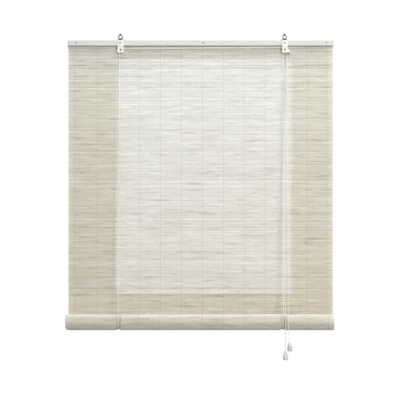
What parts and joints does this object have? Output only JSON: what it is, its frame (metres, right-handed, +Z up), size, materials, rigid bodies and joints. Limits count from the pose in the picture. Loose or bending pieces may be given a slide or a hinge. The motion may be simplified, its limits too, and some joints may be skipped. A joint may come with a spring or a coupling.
{
  "type": "bamboo roll up blind",
  "caption": "Roll-up window blind: a split-bamboo slat mat under a wooden head rail, rolled from below by looped lift cords over bracket wheels, with bell tassels.",
  "frame": {"origin": "midway between the holes of the two hanging eyes", "axes": "+X to the viewer's right along the head rail, front towards -Y, +Z up"},
  "size_m": [0.902, 0.0853, 1.0998],
  "materials": {
    "rail": "thin cream-white paint over wood",
    "slats": "matt pale split bamboo",
    "dowel": "bare wood",
    "plated_strip": "bright zinc plate",
    "fastener": "dull grey steel",
    "dark_steel": "dark plated steel",
    "nylon": "natural nylon",
    "dark_roller": "dark moulded plastic",
    "cord": "off-white twisted cord",
    "tassel": "satin light grey-white"
  },
  "bodies": {
    "head": {"front_batten": "rail", "rear_batten": "rail", "rail_screw_1": "fastener", "rail_screw_2": "fastener", "rail_screw_3": "fastener", "mat_panel": "slats", "left_clip": "plated_strip", "left_clip_screw": "fastener", "left_housing": "plated_strip", "left_axle": "fastener", "left_hanger_eye": "dark_steel", "left_eye_collar": "dark_steel", "left_cord_staple": "fastener", "left_anchor_knot": "cord", "left_rear_strand": "cord", "left_front_strand": "cord", "left_cord_top": "cord", "left_tail_upper": "cord", "right_clip": "plated_strip", "right_clip_screw": "fastener", "right_housing": "plated_strip", "right_axle": "fastener", "right_hanger_eye": "dark_steel", "right_eye_collar": "dark_steel", "right_cord_staple": "fastener", "right_anchor_knot": "cord", "right_rear_strand": "cord", "right_front_strand": "cord", "right_cord_top": "cord", "right_tail_upper": "cord"},
    "left_wheel": {"left_wheel": "nylon"},
    "right_front_wheel": {"right_front_wheel": "nylon"},
    "right_rear_wheel": {"right_rear_wheel": "nylon"},
    "lock": {"lock_roller": "dark_roller", "lock_pin": "fastener"},
    "lift": {"left_roll_loop": "cord", "right_roll_loop": "cord"},
    "roll": {"mat_roll": "slats", "bottom_dowel": "dowel"},
    "left_tassel": {"left_tail_lower": "cord", "left_tail_knot": "cord", "left_tassel_cord": "cord", "left_tassel": "tassel", "left_tassel_knot": "cord"},
    "right_tassel": {"right_tail_lower": "cord", "right_tail_knot": "cord", "right_tassel_cord": "cord", "right_tassel": "tassel", "right_tassel_knot": "cord"}
  },
  "joints": [
    {"name": "roll_lift", "type": "slide", "parent": "head", "child": "lift", "axis": [0, 0, 1], "range_m": [0, 0.78], "deforming": ["mat_panel", "left_rear_strand", "right_rear_strand", "left_front_strand", "right_front_strand", "left_tail_upper", "right_tail_upper"]},
    {"name": "roll_spin", "type": "hinge", "parent": "lift", "child": "roll", "pos_m": [0, -0.0265, -0.964], "axis": [1, 0, 0], "continuous": true},
    {"name": "left_tassel_slide", "type": "slide", "parent": "lift", "child": "left_tassel", "axis": [0, 0, -1], "range_m": [0, 2.34], "deforming": ["left_tail_lower"]},
    {"name": "right_tassel_slide", "type": "slide", "parent": "lift", "child": "right_tassel", "axis": [0, 0, -1], "range_m": [0, 2.34], "deforming": ["right_tail_lower"]},
    {"name": "left_wheel_spin", "type": "hinge", "parent": "head", "child": "left_wheel", "pos_m": [-0.2766, -0.0108, -0.0455], "axis": [0, 1, 0], "continuous": true},
    {"name": "right_front_wheel_spin", "type": "hinge", "parent": "head", "child": "right_front_wheel", "pos_m": [0.279, -0.0108, -0.044], "axis": [0, 1, 0], "continuous": true},
    {"name": "right_rear_wheel_spin", "type": "hinge", "parent": "head", "child": "right_rear_wheel", "pos_m": [0.279, -0.0068, -0.044], "axis": [0, 1, 0], "continuous": true},
    {"name": "lock_climb", "type": "slide", "parent": "head", "child": "lock", "axis": [-0.458, 0, 0.889], "range_m": [0, 0.0028]}
  ],
  "couplings": [
    {"joint": "roll_spin", "follows": "roll_lift", "rad_per_m": -32.221},
    {"joint": "left_tassel_slide", "follows": "roll_lift", "ratio": 3},
    {"joint": "right_tassel_slide", "follows": "roll_lift", "ratio": 3},
    {"joint": "left_wheel_spin", "follows": "roll_lift", "rad_per_m": 465.12},
    {"joint": "right_front_wheel_spin", "follows": "roll_lift", "rad_per_m": 333.33},
    {"joint": "right_rear_wheel_spin", "follows": "roll_lift", "rad_per_m": 465.12}
  ]
}
